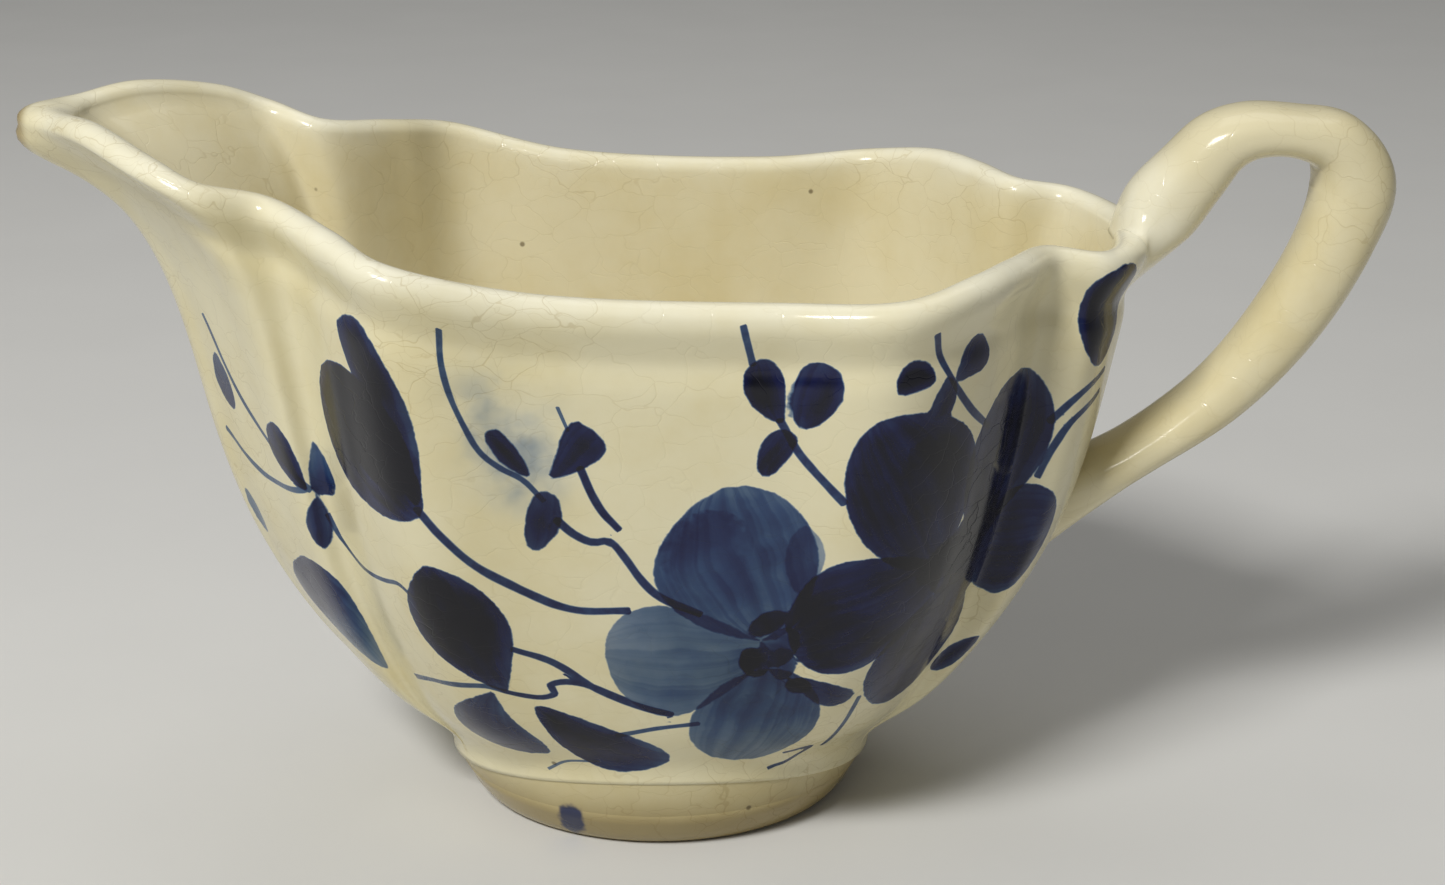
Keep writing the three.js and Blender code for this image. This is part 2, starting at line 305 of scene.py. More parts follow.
def leaf(start, tip, width, belly=0.55, blunt=0.5, bend=0.0, ink=(0.9, 0.9), layer="a", soft=0):
    """One pressed stroke of the brush from start to tip, widest at belly, laid round the wall.
    A soft stroke is a second touch into wet paint, and has no edge."""
    for spots in both_sides([start, tip], 0.5):
        middle = spots.mean(0)
        here, along, over = on_wall([middle, middle + (0.5, 0), middle + (0, 0.5)])
        stretch = np.array([np.linalg.norm(along - here), np.linalg.norm(over - here)]) / 0.5
        base, end = (spots - middle) * stretch
        length = np.linalg.norm(end - base)
        axis = (end - base) / length
        flat = (np.stack([around_of, height_of], 1) - middle) * stretch
        near = np.flatnonzero(painted_side & (np.linalg.norm(flat, axis=1) < length / 2 + width))
        flat = (flat[near] - base) @ np.array([axis, (-axis[1], axis[0])]).T
        flat[:, 1] *= np.sign(spots[0, 0])
        share = np.linspace(0, 1, 41)
        half = width / 2 * np.sin(math.pi * share ** (math.log(0.5) / math.log(belly))) ** blunt
        centre = bend * length * 4 * share * (1 - share)
        edge = np.concatenate([np.stack([share * length, centre + half], 1),
                               np.stack([share * length, centre - half], 1)[-2:0:-1]])
        run = np.roll(edge, -1, 0) - edge
        reach = np.clip(((flat[:, None] - edge) * run).sum(2) / ((run * run).sum(1) + 1e-9), 0, 1)
        distance = np.linalg.norm(flat[:, None] - edge - reach[:, :, None] * run, axis=2).min(1)
        side = np.abs(flat[:, 1] - np.interp(flat[:, 0], share * length, centre))
        half_here = np.interp(flat[:, 0], share * length, half)
        within = (flat[:, 0] > 0) & (flat[:, 0] < length) & (side < half_here)
        distance[within] *= -1
        tone = ink[0] + (ink[1] - ink[0]) * np.clip(flat[:, 0] / length, 0, 1)
        # The hairs of the brush spread where the stroke is wide and close up at its ends.
        spread = 0.35 * width / (0.3 * width + half_here)
        off_centre = flat[:, 1] - np.interp(flat[:, 0], share * length, centre)
        streak = off_centre * spread + 11 * painter.random()
        values = petal_layers[layer]
        better = distance < values[near, 0]
        distance[distance < 0] *= 1 - 0.93 * soft
        values[near[better]] = np.stack([distance, tone, streak], 1)[better]


stem_half = 0.45  # mm, the half width that every stem is stored at


def stem(path, width=0.9, ink=0.76):
    """A line drawn with the brush's tip."""
    for spots in both_sides(path, 0.5):
        fine = through(spots, np.linspace(0, 1, 6 * len(spots)))
        line = on_wall(fine)
        middle = line.mean(0)
        reach = np.linalg.norm(line - middle, axis=1).max() + 4
        near = painted_side & (np.linalg.norm(bowl_points - middle, axis=1) < reach)
        points, normals = bowl_points[near], bowl_normals[near]
        start, run = line[:-1], np.diff(line, axis=0)
        reach = np.clip(((points[:, None] - start) * run).sum(2) / (run * run).sum(1), 0, 1)
        gap = points[:, None] - start - reach[:, :, None] * run
        distance = np.linalg.norm(gap, axis=2)
        nearest = distance.argmin(1)
        row = np.arange(len(points))
        side = np.cross(normals, run[nearest])
        side /= np.linalg.norm(side, axis=1, keepdims=True)
        offset = ((points - start[nearest]) * side).sum(1)
        distance = distance[row, nearest]
        rows_near = np.flatnonzero(near)
        better = distance < stem_layer[rows_near, 1]
        scale = stem_half / (width / 2)
        stem_layer[rows_near[better]] = np.stack(
            [offset * scale, distance, np.full(len(points), ink)], 1)[better]


# Under the spout: two thin stems with buds and grey, watery leaves.
stem([(12.9, 63.5), (15.2, 58.8), (18.5, 54.9), (24, 51.6), (31.8, 49.2), (38, 46.4)], 0.8, 0.62)
stem([(8.3, 48.3), (13.5, 46.4), (20.2, 45.1), (28.4, 45.3), (36.6, 46.1)], 0.8, 0.6)
leaf((14, 52.3), (12.5, 59.3), 4.4, 0.45, 0.6, 0.08, (0.84, 0.7), "a")
leaf((38, 46), (29.6, 53.8), 5.2, 0.66, 0.5, 0.06, (0.95, 0.88), "a")
leaf((42, 45.1), (42.5, 52.1), 3.4, 0.25, 0.8, -0.04, (0.84, 0.66), "b")
leaf((40.4, 45.2), (37.3, 38.3), 3.1, 0.6, 0.5, -0.03, (0.8, 0.9), "b")
leaf((8.5, 35), (7, 40.5), 2.6, 0.5, 0.6, 0.0, (0.6, 0.5), "b")
# The pair of dark leaves, and the long stem from them towards the flowers.
leaf((65.9, 49.6), (57.3, 70.9), 6.8, 0.68, 0.32, -0.07, (0.82, 0.9), "a")
leaf((66, 48.3), (49.5, 62.9), 15.7, 0.56, 0.5, 0.04, (0.86, 0.95), "b")
leaf((65.6, 51.5), (51, 62.6), 11.5, 0.54, 0.5, -0.04, (0.93, 0.97), "c")
stem([(66, 49), (68.5, 45.8), (72, 42.4), (76.3, 39.8), (83.9, 36.5), (90.8, 36.3)], 1.05, 0.78)
# The lower leaves and the thin wavy stems between them.
stem([(42, 42.1), (43.6, 39.3), (47.4, 37), (54.4, 37.1), (58.8, 37.8), (61.1, 36.9)], 0.7, 0.66)
leaf((72.4, 24.2), (65.2, 42), 12, 0.55, 0.75, 0.04, (0.9, 0.95), "a")
leaf((39.4, 21.2), (18.3, 33.2), 14.5, 0.72, 0.4, -0.09, (0.5, 0.88), "a")
leaf((69.8, 24.2), (71.5, 13.2), 10.3, 0.72, 0.36, -0.26, (0.84, 0.72), "b")
leaf((96.2, 13.6), (76.6, 22.1), 7.8, 0.44, 0.65, 0.12, (0.78, 0.95), "a")
stem([(75.9, 30.5), (80.9, 28.9), (86.9, 24.9), (92.5, 22.6), (96, 21.6)], 0.9, 0.78)
stem([(51.2, 22.1), (58.3, 23.6), (68.8, 25), (71.9, 24.4)], 0.8, 0.66)
stem([(72.2, 24.3), (75, 23.8), (78.5, 23.6), (80.4, 24.3), (79.9, 25.4), (82.1, 26.1), (85.3, 25.7),
      (90.5, 23.6)], 0.8, 0.8)
stem([(89.4, 18.2), (94.6, 19.3), (99.7, 19.9)], 0.7, 0.66)
# The spray of small buds in the middle.
stem([(71.3, 70.4), (71.1, 67.3), (71.6, 63.7), (73, 59.6), (74.7, 56.3), (76.9, 54.4), (79.5, 52.9),
      (81.4, 50.8)], 0.65, 0.66)
leaf((80.2, 53.4), (75.9, 59), 2.5, 0.6, 0.35, 0.03, (0.92, 0.94), "a")
leaf((82.6, 53.1), (87.8, 59), 5.1, 0.78, 0.28, -0.05, (0.95, 0.92), "a")
leaf((82.4, 51.5), (80, 44.2), 4.0, 0.44, 0.5, 0.04, (0.8, 0.92), "a")
stem([(84.2, 61), (84.8, 59.4)], 0.4, 0.55)
stem([(86.4, 53.9), (87.5, 51), (88.8, 48.7), (90.1, 47.2)], 0.9, 0.84)
stem([(83.5, 47.7), (85, 46.3), (87.3, 45.2), (89.3, 45.3), (91.2, 43), (92.9, 40.4), (95, 38.2),
      (99.6, 36)], 0.95, 0.8)
# The pale flower: wide watery petals, each laid with one turn of the brush.
leaf((110.2, 32.2), (102.6, 51.9), 18.6, 0.54, 0.55, 0.08, (0.62, 0.7), "a")
leaf((103, 38), (99.5, 49), 11, 0.6, 0.5, 0.04, (0.1, 0.55), "b", 1)
leaf((112.4, 38.3), (112.5, 47.4), 4.4, 0.53, 0.6, -0.03, (0.5, 0.42), "b")
leaf((109.8, 30.4), (87.9, 30), 16.2, 0.65, 0.5, 0.06, (0.64, 0.52), "c")
leaf((111.4, 28), (106.6, 13.1), 15.6, 0.56, 0.42, 0.05, (0.7, 0.56), "a")
leaf((109, 24.5), (106, 15.5), 7.5, 0.5, 0.6, 0.0, (0.3, 0.1), "b", 1)
leaf((108, 31.6), (113.4, 30.6), 6.2, 0.6, 0.5, 0.0, (0.7, 0.8), "b")
leaf((114.4, 26.6), (124.9, 22.6), 3.6, 0.64, 0.35, -0.06, (0.82, 0.74), "b")
leaf((106.4, 32.9), (111.2, 35.9), 3.0, 0.5, 0.5, 0.0, (0.9, 0.9), "c")
leaf((106.3, 31), (108.8, 26.8), 3.6, 0.5, 0.5, 0.0, (0.9, 0.85), "b")
leaf((111, 31), (112, 26.2), 3.4, 0.5, 0.5, 0.0, (0.62, 0.7), "c")
leaf((112.4, 26), (117, 24.9), 2.6, 0.5, 0.5, 0.0, (0.85, 0.85), "c")
# The dark flower, five heavy petals round the corner towards the handle.
leaf((133, 40.5), (120.1, 60.4), 17.4, 0.53, 0.55, -0.03, (0.82, 0.9), "b")
leaf((130, 43), (126.5, 58), 10, 0.6, 0.5, -0.1, (0.3, 0.7), "a", 1)
leaf((133, 36.5), (146.5, 46.5), 9.5, 0.5, 0.45, 0.0, (0.93, 0.9), "a")
leaf((136, 41.5), (147.5, 33), 8.5, 0.5, 0.45, 0.0, (0.92, 0.9), "b")
leaf((134, 39), (112.2, 31), 16.9, 0.56, 0.46, -0.05, (0.84, 0.9), "c")
leaf((128, 35), (115, 30), 8, 0.7, 0.6, -0.1, (0.2, 0.6), "a", 1)
leaf((138, 37.5), (137.5, 18.8), 18.5, 0.6, 0.5, 0.0, (0.92, 0.78), "b")
leaf((142.6, 38.5), (146, 61.2), 17.6, 0.58, 0.45, 0.0, (0.88, 0.82), "c")
leaf((144.5, 42), (148.5, 57), 8, 0.6, 0.5, 0.1, (0.3, 0.6), "a", 1)
leaf((144, 37.5), (159.8, 38.5), 15.5, 0.6, 0.46, 0.0, (0.86, 0.78), "b")
leaf((147, 36.5), (158, 34), 7, 0.6, 0.5, 0.0, (0.3, 0.6), "a", 1)
leaf((129, 39), (141, 42.5), 6, 0.5, 0.6, 0.0, (0.95, 0.95), "a")
leaf((150.5, 19.6), (156.4, 24.3), 3.4, 0.4, 0.5, 0.0, (0.92, 0.86), "a")
stem([(126.7, 22), (126.7, 18.6), (126.5, 14.1)], 0.7, 0.66)
stem([(116.7, 10.9), (121, 11.6), (123.3, 14.1), (118.7, 13.6)], 0.7, 0.75)
stem([(74.9, 11.1), (79, 12.6), (84.1, 13.1)], 0.4, 0.5)
# Buds over the flowers, on stems that come down from the rim.
stem([(104.5, 70.7), (105.4, 66.9)], 0.8, 0.7)
leaf((109, 59.6), (106.1, 67.1), 4.6, 0.62, 0.5, 0.06, (0.97, 0.9), "a")
leaf((111.3, 59.1), (113.4, 66.8), 5.6, 0.6, 0.4, -0.05, (0.97, 0.88), "a")
leaf((110, 58.8), (107, 53.4), 3.5, 0.41, 0.4, -0.04, (0.93, 0.96), "b")
stem([(109, 59.7), (111, 56.4), (113.6, 53.6), (116.6, 50.8)], 0.95, 0.76)
leaf((126.8, 65.2), (121.7, 64.2), 3.8, 0.5, 0.36, -0.15, (0.93, 0.93), "a")
leaf((129.8, 63.9), (135.2, 67.6), 4.6, 0.7, 0.4, -0.02, (0.86, 0.88), "a")
leaf((129.1, 64.5), (126.4, 58.6), 3.4, 0.5, 0.36, 0.12, (0.88, 0.92), "b")
stem([(126, 69.8), (127.8, 66.4), (130.3, 63), (134, 59.3), (138, 56.5)], 0.8, 0.76)
# At the handle's end, one dark leaf and two stems. They are drawn towards each other.
stem([(161.5, 58.4), (156.5, 56.6), (153.6, 53.8)], 0.9, 0.72)
stem([(153.6, 46.9), (154.6, 50.3), (156.4, 53.4), (161.6, 55.6)], 0.9, 0.72)
leaf((159.6, 59.6), (158, 72.4), 8.6, 0.6, 0.38, 0.0, (0.98, 0.98), "a")

# Faint blue clouds where a wet brush was wiped, two in front and one behind, and how the glaze
# lies over the wall: paler on the rim, partly thinner glaze and partly painted light, and plain inside.
cloud = np.zeros(len(bowl_points))
for middle_around, middle_height, spread in ((77, 60, 7), (80, 53.5, 5), (-84, 58, 6)):
    far_off = (around_of - middle_around, height_of - middle_height)
    cloud += np.exp(-((far_off[0] / spread) ** 2) - (far_off[1] / spread) ** 2)
cloud *= painted_side
crest_of = rows[under_steps + outside_steps - 1][bowl_column][:, 2] + wall / 2
below_crest = crest_of - height_of
on_rim_glaze_and_light = np.exp(-(below_crest / 2.2) ** 2)
mark(bowl_mesh, "petals_a", petal_layers["a"])
mark(bowl_mesh, "petals_b", petal_layers["b"])
mark(bowl_mesh, "petals_c", petal_layers["c"])
mark(bowl_mesh, "stems", stem_layer)
mark(bowl_mesh, "lie", np.stack([np.clip(cloud, 0, 1), on_rim_glaze_and_light, (row_of > 1.4).astype(float)], 1))


class Value:
    """A socket of a material's nodes; sums on it add Math nodes."""

    def __init__(self, finish, socket):
        self.finish, self.socket = finish, socket

    def maths(self, operation, *others):
        return self.finish.node("ShaderNodeMath", {"operation": operation}, dict(enumerate((self, *others))))

    def __add__(self, other):
        return self.maths("ADD", other)

    def __sub__(self, other):
        return self.maths("SUBTRACT", other)

    def __mul__(self, other):
        return self.maths("MULTIPLY", other)

    def __rsub__(self, other):
        return self.finish.node("ShaderNodeMath", {"operation": "SUBTRACT"}, {0: other, 1: self})

    __radd__ = __add__
    __rmul__ = __mul__


class Finish:
    """A material under construction."""

    def __init__(self, name):
        self.material = bpy.data.materials.new(name)
        self.material.use_nodes = True
        self.nodes, self.links = self.material.node_tree.nodes, self.material.node_tree.links
        self.surface = self.nodes["Principled BSDF"]

    def node(self, kind, settings={}, sockets={}, out=0):
        made = self.nodes.new(kind)
        for name, setting in settings.items():
            if name == "stops":
                ramp = made.color_ramp.elements
                while len(ramp) < len(setting):
                    ramp.new(1)
                for element, (place, colour) in zip(ramp, setting):
                    element.position, element.color = place, colour
            else:
                setattr(made, name, setting)
        self.plug(made, sockets)
        return Value(self, made.outputs[out])

    def plug(self, made, sockets):
        for name, value in sockets.items():
            if isinstance(value, Value):
                self.links.new(value.socket, made.inputs[name])
            else:
                made.inputs[name].default_value = value

    def step(self, value, low, high, first=0.0, last=1.0):
        """A soft step from first to last while value goes from low to high."""
        return self.node("ShaderNodeMapRange", {"interpolation_type": "SMOOTHSTEP"}, {
            "Value": value, "From Min": low, "From Max": high, "To Min": first, "To Max": last})

    def blend(self, share, first, second, how="MIX"):
        return self.node("ShaderNodeMix", {"data_type": "RGBA", "blend_type": how, "clamp_factor": True},
                         {0: share, 6: first, 7: second}, 2)

    def noise(self, where, scale, detail=2.0, rough=0.5):
        return self.node("ShaderNodeTexNoise", {}, {
            "Vector": where, "Scale": scale, "Detail": detail, "Roughness": rough})

    def layer(self, name):
        vector = self.node("ShaderNodeAttribute", {"attribute_name": name}, {}, 1)
        apart = self.node("ShaderNodeSeparateXYZ", {}, {0: vector})
        return [Value(self, apart.socket.node.outputs[k]) for k in range(3)]


def shade(red, green, blue):
    """A colour as the eye sees it, 0 to 255, in the renderer's linear light."""
    parts = [part / 255 for part in (red, green, blue)]
    return (*[part / 12.92 if part < 0.04045 else ((part + 0.055) / 1.055) ** 2.4 for part in parts], 1)


cream = shade(224, 217, 184)
# The rim's cream is partly thinner glaze and partly painted light on the rim's lit top.
cream_rim_glaze_and_light = shade(243, 240, 220)
cream_inside = shade(227, 219, 187)
cream_pool = shade(236, 226, 190)
inks = [(0.0, shade(190, 196, 190)), (0.30, shade(138, 150, 160)), (0.48, shade(98, 116, 138)),
        (0.58, shade(72, 94, 122)), (0.68, shade(44, 67, 104)), (0.78, shade(28, 42, 82)),
        (0.88, shade(13, 19, 62)), (0.97, shade(7, 8, 22))]


def glazed(name, rough, base):
    """Clear craquelure glaze over cream clay: base is its colour, which may be a socket."""
    finish = Finish(name)
    where = finish.node("ShaderNodeTexCoord", out=3)
    drift = finish.node("ShaderNodeVectorMath", {"operation": "SCALE"}, {
        0: finish.node("ShaderNodeTexNoise", {}, {"Vector": where, "Scale": 210.0, "Detail": 2.0}, 1),
        3: 0.0045})
    bent = finish.node("ShaderNodeVectorMath", {"operation": "ADD"}, {0: where, 1: drift})
    long_cells = finish.node("ShaderNodeMapping", {}, {
        "Vector": bent, "Rotation": (0.0, 0.35, 0.0), "Scale": (0.7, 0.8, 1.25)})
    wide = finish.node("ShaderNodeTexVoronoi", {"feature": "DISTANCE_TO_EDGE"}, {
        "Vector": long_cells, "Scale": 240.0})
    small = finish.node("ShaderNodeTexVoronoi", {"feature": "DISTANCE_TO_EDGE"}, {
        "Vector": long_cells, "Scale": 470.0})
    crazed = finish.step(finish.noise(where, 26.0), 0.42, 0.62)
    cracks = finish.step(wide, 0.02, 0.0) + finish.step(small, 0.026, 0.0) * crazed * 0.6
    colour = base(finish, where) if callable(base) else base
    mottle = finish.noise(where, 55.0, 5.0, 0.6)
    fine = finish.noise(where, 420.0, 3.0)
    colour = finish.blend(finish.step(mottle, 0.35, 0.75, 0.0, 0.5), colour, cream_pool, "MULTIPLY")
    speck = finish.node("ShaderNodeTexVoronoi", {}, {"Vector": where, "Scale": 75.0})
    colour = finish.blend(finish.step(speck, 0.035, 0.015) * 0.7, colour, shade(96, 82, 58), "MULTIPLY")
    crack_share = finish.step(cracks, 0.0, 1.0) * (0.06 + 0.3 * crazed)
    colour = finish.blend(crack_share, colour, shade(206, 194, 166), "MULTIPLY")
    bump = finish.node("ShaderNodeBump", {}, {
        "Strength": 0.35, "Distance": 0.0004,
        "Height": mottle * 0.5 + fine * 0.12 - cracks * 0.10})
    finish.plug(finish.surface, {
        "Base Color": colour, "Roughness": finish.step(fine, 0.3, 0.7, rough - 0.03, rough + 0.05),
        "Normal": bump, "IOR": 1.5, "Specular IOR Level": 0.36})
    return finish.material


def painted_wall(finish, where):
    """The bowl's colour: bare glaze, paler on the rim (partly thinner glaze, partly painted light), with the
    cobalt strokes under it.
    """
    cloud_share, rim_glaze_and_light_share, inside_share = finish.layer("lie")
    colour = finish.blend(inside_share, cream, cream_inside)
    # The paler rim is partly thinner glaze and partly painted light on the rim's lit top.
    colour = finish.blend(rim_glaze_and_light_share * 0.8, colour, cream_rim_glaze_and_light)
    # The very tip of the spout is coloured brown.
    on_tip = finish.step(finish.node("ShaderNodeSeparateXYZ", {}, {0: where}), -0.0795, -0.0815)
    colour = finish.blend(on_tip * 0.8, colour, shade(150, 128, 70))
    ragged = finish.noise(where, 900.0, 2.0)
    broad = finish.noise(where, 150.0, 3.0)
    left = 1 - cloud_share * finish.step(broad, 0.3, 0.7, 0.1, 0.3)
    for name in ("petals_a", "petals_b", "petals_c"):
        distance, tone, streak = finish.layer(name)
        distance = distance + (ragged - 0.5) * 0.4 + (broad - 0.5) * 0.5
        hairs = finish.node("ShaderNodeTexNoise", {"noise_dimensions": "1D"}, {
            "W": streak + broad * 1.2, "Scale": 1.5, "Detail": 3.0})
        thin_edge = finish.step(distance, -2.2, -0.1, 0.0, 0.17) * tone * tone
        depth = tone * (finish.step(hairs, 0.3, 0.7, 0.945, 1.03) + (broad - 0.5) * 0.42) - thin_edge * tone
        left = left * (1 - finish.step(distance, 0.14, -0.16) * finish.step(depth, 0.0, 1.0, 0.0, 0.985))
    offset, apart, tone = finish.layer("stems")
    width = stem_half + (broad - 0.5) * 0.35
    line = finish.step(offset.maths("ABSOLUTE") - width, 0.12, -0.12) * finish.step(apart, 0.85, 0.7)
    left = left * (1 - line * tone * (0.85 + ragged * 0.3))
    ink = 1 - left
    paint = finish.node("ShaderNodeValToRGB", {"stops": inks}, {0: ink})
    return finish.blend(finish.step(ink, 0.0, 0.32), colour, paint)


bowl_glaze = glazed("painted_cream_glaze", 0.16, painted_wall)
bowl_mesh.materials.append(bowl_glaze)
bowl = finished(bowl_mesh)
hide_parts("bowl")


# The foot: an oval ring turned into the bowl's underside, so that the jug stands on a narrow
# edge. The slip that joins it to the bowl is wiped to a soft hollow with a wet finger.
foot_half_length, foot_half_width = 23.6, 20.6
foot_flare = 3.2
foot_ceiling = underside_height - 0.15
foot_columns = 192
foot_turn = (np.arange(foot_columns) + 0.5) * 2 * math.pi / foot_columns


def foot_ring_at(offset, height):
    return np.stack([(foot_half_length + offset) * np.cos(foot_turn),
                     (foot_half_width + offset) * np.sin(foot_turn),
                     np.broadcast_to(height, foot_turn.shape)], 1)


def swept(first, first_way, last, last_way, steps):
    """Rings that leave the first ring along one direction and run out on the last along another."""
    for share in np.linspace(0, 1, steps + 1):
        yield ((2 * share**3 - 3 * share**2 + 1) * first + (share**3 - 2 * share**2 + share) * first_way
               + (3 * share**2 - 2 * share**3) * last + (share**3 - share**2) * last_way)


def wall_near_foot(up):
    """The bowl's wall over each column of the foot."""
    angle = np.arctan2(crease_ring[:, 1], crease_ring[:, 0])
    order = np.argsort(angle)
    ring = skin(column_around, np.full(columns, up))[order]
    turn = np.where(foot_turn > math.pi, foot_turn - 2 * math.pi, foot_turn)
    foot_angle = np.arctan2((foot_half_width + foot_flare) * np.sin(turn),
                            (foot_half_length + foot_flare) * np.cos(turn))
    return np.stack([np.interp(foot_angle, angle[order], ring[:, k], period=2 * math.pi)
                     for k in range(3)], 1)


fillet_bottom = foot_ring_at(1.75, 3.6)
fillet_top = wall_near_foot(0.022)
up_the_foot = fillet_bottom - foot_ring_at(0.8, 1.6)
up_the_wall = wall_near_foot(0.03) - wall_near_foot(0.015)
fillet_pull = 4
up_the_foot *= fillet_pull / np.linalg.norm(up_the_foot, axis=1, keepdims=True)
up_the_wall *= fillet_pull / np.linalg.norm(up_the_wall, axis=1, keepdims=True)
middle_of_foot = np.zeros((foot_columns, 3))
foot_rows = [middle_of_foot + (0, 0, foot_ceiling)]
foot_rows += [foot_ring_at(offset, height) for offset, height in (
    (-16, foot_ceiling), (-11, 5.82), (-8, 5.7), (-6.5, 5.4), (-5.6, 4.9), (-5, 4.1), (-4.7, 3.1), (-4.6, 2),
    (-4.55, 1.1), (-4.3, 0.5), (-3.9, 0.15), (-3.4, 0), (-2.6, 0), (-1.9, 0), (-1.3, 0.03), (-0.75, 0.14),
    (-0.3, 0.38), (0.05, 0.75), (0.4, 1.2), (1.1, 2.2), (1.75, 3.6), (2.3, 4.6), (2.1, 5.6), (0.2, 6.5),
    (-2.6, 7))]
foot_rows.append(middle_of_foot + (0, 0, 7.75))
foot_mesh, _, _ = pulled_ball("foot", foot_rows)
slip_rows = [middle_of_foot + (0, 0, 7.95)]
slip_rows += [foot_ring_at(offset, height) for offset, height in ((-2.6, 6.6), (0, 4.4), (1.5, 3.4))]
slip_rows += list(swept(fillet_bottom, up_the_foot, fillet_top, up_the_wall, 14))
slip_rows += [wall_near_foot(0.03) * (0.975, 0.975, 1), foot_ring_at(-4, 9.4), middle_of_foot + (0, 0, 9.15)]
foot_slip_mesh, _, _ = pulled_ball("foot_slip", slip_rows)


def foot_colour_painted_shade(finish, where):
    """The foot's colour, darker than the bowl's and darker and browner still towards the table: painted
    shade for the jug's shaded underside.
    """
    height = Value(finish, finish.node("ShaderNodeSeparateXYZ", {}, {0: where}).socket.node.outputs[2])
    uneven = finish.noise(where, 90.0, 3.0)
    # Painted shade: the foot and its slip turn darker and browner towards the table.
    low = finish.step(height + (uneven - 0.5) * 0.003, 0.0095, 0.003)
    colour = finish.blend(low * 0.85, shade(205, 194, 154), shade(150, 133, 88))
    # One dab of the blue brush on the front, where the painter tried it.
    from_dab = finish.node("ShaderNodeVectorMath", {"operation": "SUBTRACT"}, {
        0: where, 1: (-0.0168, -0.0195, 0.0032)})
    stretched = finish.node("ShaderNodeVectorMath", {"operation": "MULTIPLY"}, {
        0: from_dab, 1: (640.0, 90.0, 400.0)})
    dab = finish.node("ShaderNodeVectorMath", {"operation": "LENGTH"}, {0: stretched}, 1)
    ragged = finish.noise(where, 500.0, 2.0)
    return finish.blend(finish.step(dab + ragged, 1.75, 1.3) * 0.95, colour, inks[5][1])


foot_glaze_painted_shade = glazed("cream_glaze_foot_painted_shade", 0.2, foot_colour_painted_shade)
for mesh, node in ((foot_mesh, "foot_ring"), (foot_slip_mesh, "foot_join")):
    mesh.materials.append(foot_glaze_painted_shade)
    piece = finished(mesh)
    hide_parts(node)
    "glazed_foot" if node == "foot_ring" else "glazed_slip"


# The handle: a pulled strap of clay, bent while soft and pressed on at the rim and low on the
# wall. Each end is worked into the bowl with slip, so it flares out and runs into the wall.
handle_line = [  # x, z, half thickness
    (57.0, 70.0, 3.0), (60.2, 74.6, 4.7), (63.9, 79.3, 4.3), (66.9, 82.8, 3.8), (70.5, 84.4, 3.25),
    (76.3, 84.3, 3.05), (80.8, 82.8, 3.9), (83.2, 78.3, 4.9), (81.8, 71.6, 4.55), (76.8, 61.5, 4.2),
    (69.2, 51.9, 3.5), (59.3, 44.3, 2.9), (52.5, 40.2, 3.4), (48.0, 37.5, 3.6),
]
handle_half_width = 5.5
squareness = 0.86  # 1 is an ellipse, less has fuller corners
handle_columns = 64
handle_steps = 120
handle_turn = np.arange(handle_columns) * 2 * math.pi / handle_columns
handle_path = through([(x, 0, z, half) for x, z, half in handle_line], np.linspace(0, 1, handle_steps + 1))


def strap_ring(step, grow=0.0):
    """The strap's section at one step of its path, a flattened round."""
    ahead = handle_path[min(step + 1, handle_steps), :3] - handle_path[max(step - 1, 0), :3]
    ahead /= np.linalg.norm(ahead)
    across = np.cross((0, 1, 0), ahead)
    cosine, sine = np.cos(handle_turn), np.sin(handle_turn)
    deep = np.sign(cosine) * np.abs(cosine) ** squareness * (handle_path[step, 3] + grow)
    wide = np.sign(sine) * np.abs(sine) ** squareness * (handle_half_width + grow)
    return handle_path[step, :3] + deep[:, None] * across + wide[:, None] * np.array((0, 1, 0)), ahead


strap_rows = [strap_ring(step)[0] for step in range(handle_steps + 1)]
strap_rows = [np.broadcast_to(strap_rows[0].mean(0), strap_rows[0].shape), *strap_rows,
              np.broadcast_to(strap_rows[-1].mean(0), strap_rows[-1].shape)]
strap_mesh, _, _ = pulled_ball("handle_strap", strap_rows)


def bowl_at(around, over):
    """The bowl's skin, over mm up the wall from the rim's outer edge; above 0 it is on the roll."""
    place = around / rim_length * columns - 0.5
    column = math.floor(place)
    share = place - column
    line = rows[:, column % columns] * (1 - share) + rows[:, (column + 1) % columns] * share
    run = np.concatenate([[0], np.cumsum(np.linalg.norm(np.diff(line, axis=0), axis=1))])
    run -= run[under_steps + outside_steps - 1]
    return np.array([np.interp(over, run, line[:, k]) for k in range(3)])


def worked_end(name, step, towards, middle, half_height, half_width, pull, run_out):
    """The flared end of the handle, between the strap and an oval on the bowl's wall."""
    ring, ahead = strap_ring(step, -0.05)
    top = math.copysign(1, np.cross((0, 1, 0), ahead)[2])

    def oval(grow, mirrored=False):
        spots = []
        for turn in handle_turn:
            over = middle + top * grow * half_height * math.cos(turn)
            around = rim_length / 2 + grow * half_width * math.sin(turn)
            spots.append(bowl_at(around, roll_run - over if mirrored else over))
        return np.array(spots)

    edge = oval(1.0)
    way = oval(1.1) - edge
    way *= run_out / np.linalg.norm(way, axis=1, keepdims=True)
    rings = list(swept(ring, np.broadcast_to(ahead * towards * pull, ring.shape), edge, way, 14))
    start, buried = ring.mean(0), edge * 0.6 + oval(1.0, True) * 0.4
    ends = [np.broadcast_to(start, ring.shape), start + (ring - start) * 0.8 - ahead * towards * 0.5]
    return pulled_ball(name, [*ends, *rings, buried, np.broadcast_to(buried.mean(0), ring.shape)])[0]


roll_run = math.pi * wall / 2
top_slip_mesh = worked_end("handle_slip_top", 9, -1, -1.4, 6.2, 9, 5, 3)
low_slip_mesh = worked_end("handle_slip_low", 102, 1, -36.6, 6.6, 7, 8, 3)


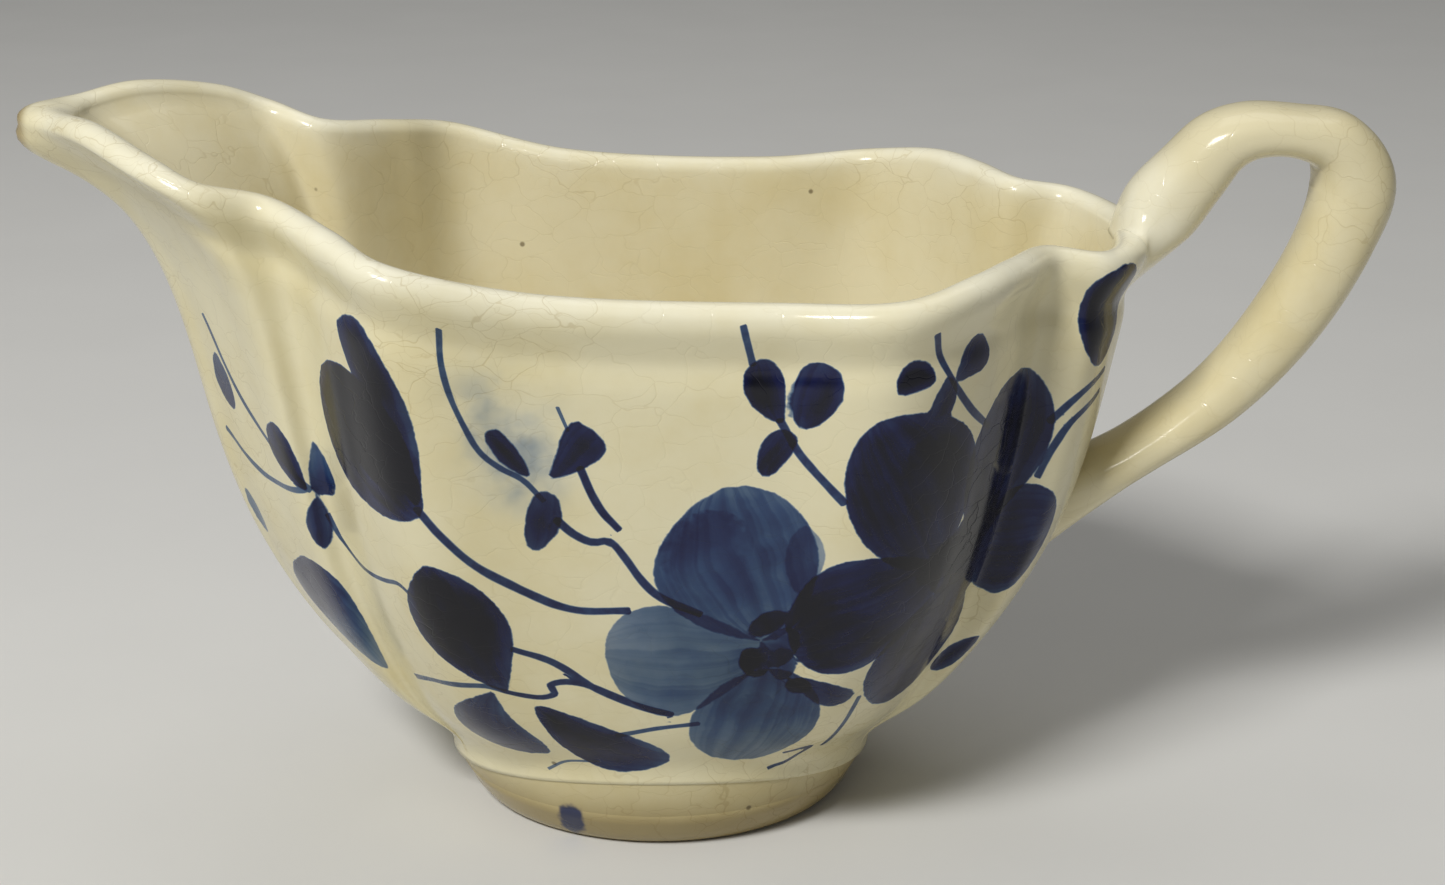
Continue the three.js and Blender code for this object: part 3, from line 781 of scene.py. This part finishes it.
def handle_colour(finish, where):
    """The rim's paler glaze, partly painted light, runs on a little way up the handle's root."""
    from_rim = finish.node("ShaderNodeVectorMath", {"operation": "DISTANCE"}, {
        0: where, 1: (0.0495, 0, 0.0735)}, 1)
    return finish.blend(finish.step(from_rim, 0.004, 0.0125), cream_rim_glaze_and_light, shade(226, 217, 182))


handle_glaze = glazed("cream_glaze_handle", 0.15, handle_colour)
for mesh, node in ((strap_mesh, "handle"), (top_slip_mesh, "upper_handle_join"),
                   (low_slip_mesh, "lower_handle_join")):
    mesh.materials.append(handle_glaze)
    piece = finished(mesh)
    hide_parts(node)
    "glazed_handle" if node == "handle" else "glazed_slip"


# The table top, a plain pale board under even studio light: a window-like soft box from the
# front and left, a wide weak light overhead, and a dim pale room all round.
bm = bmesh.new()
bmesh.ops.create_grid(bm, x_segments=2, y_segments=2, size=2.5)
floor_mesh = bpy.data.meshes.new("table_top")
bm.to_mesh(floor_mesh)
bm.free()
floor = bpy.data.objects.new("table_top", floor_mesh)
bpy.context.scene.collection.objects.link(floor)
paper = Finish("pale_board")
paper_where = paper.node("ShaderNodeTexCoord", out=3)
paper_grain = paper.noise(paper_where, 30.0, 4.0)
paper.plug(paper.surface, {
    "Base Color": paper.blend(paper_grain, (0.70, 0.70, 0.69, 1), (0.74, 0.74, 0.73, 1)), "Roughness": 0.7})
floor_mesh.materials.append(paper.material)


def lamp(name, place, aim_at, size, power, colour=(1, 1, 1)):
    light = bpy.data.lights.new(name, "AREA")
    light.shape = "RECTANGLE"
    light.size, light.size_y = size
    light.energy = power
    light.color = colour
    holder = bpy.data.objects.new(name, light)
    holder.location = place
    holder.rotation_euler = (Vector(aim_at) - Vector(place)).to_track_quat("-Z", "Y").to_euler()
    bpy.context.scene.collection.objects.link(holder)


lamp("window", (-0.36, -0.56, 0.76), (0, 0, 0.05), (0.26, 0.22), 7.6, (1.0, 0.985, 0.95))
lamp("ceiling", (0.1, 0.25, 0.9), (0, 0, 0.05), (0.7, 0.6), 1.5, (1.0, 0.98, 0.94))
world = bpy.data.worlds.new("studio")
bpy.context.scene.world = world
world.use_nodes = True
world.node_tree.nodes["Background"].inputs["Color"].default_value = (0.95, 0.95, 0.93, 1)
world.node_tree.nodes["Background"].inputs["Strength"].default_value = 0.14
